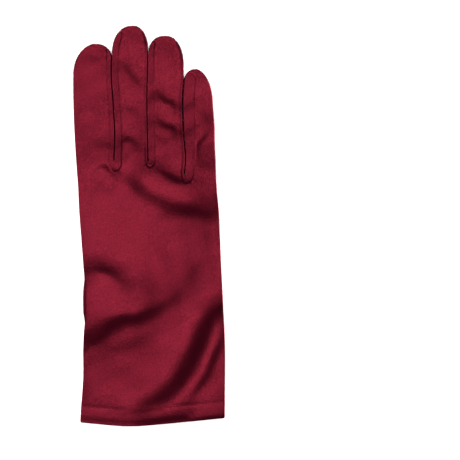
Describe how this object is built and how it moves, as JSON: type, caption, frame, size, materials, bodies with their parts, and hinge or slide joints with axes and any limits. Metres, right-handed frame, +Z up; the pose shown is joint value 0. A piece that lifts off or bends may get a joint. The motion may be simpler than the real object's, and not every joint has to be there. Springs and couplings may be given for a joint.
{
  "type": "dress glove",
  "caption": "Wrist length satin dress glove for the right hand, lying flat with its back up, with fourchettes between the fingers and a turned up cuff hem.",
  "frame": {"origin": "on the surface the glove rests on, under the middle of its outline", "axes": "+X across the palm towards the little finger, +Y along the hand towards the fingertips, +Z up out of the back of the hand"},
  "size_m": [0.0876, 0.23, 0.0167],
  "materials": {
    "satin": "satin weave, wine red, soft sheen",
    "satin_side": "satin weave, wine red, soft sheen",
    "satin_hem": "satin weave, wine red, soft sheen, turned up double"
  },
  "bodies": {
    "root": {"trank_back": "satin", "trank_palm": "satin", "thumb": "satin", "fourchette_index_middle": "satin_side", "fourchette_middle_ring": "satin_side", "fourchette_ring_little": "satin_side", "cuff_hem": "satin_hem"}
  },
  "joints": []
}
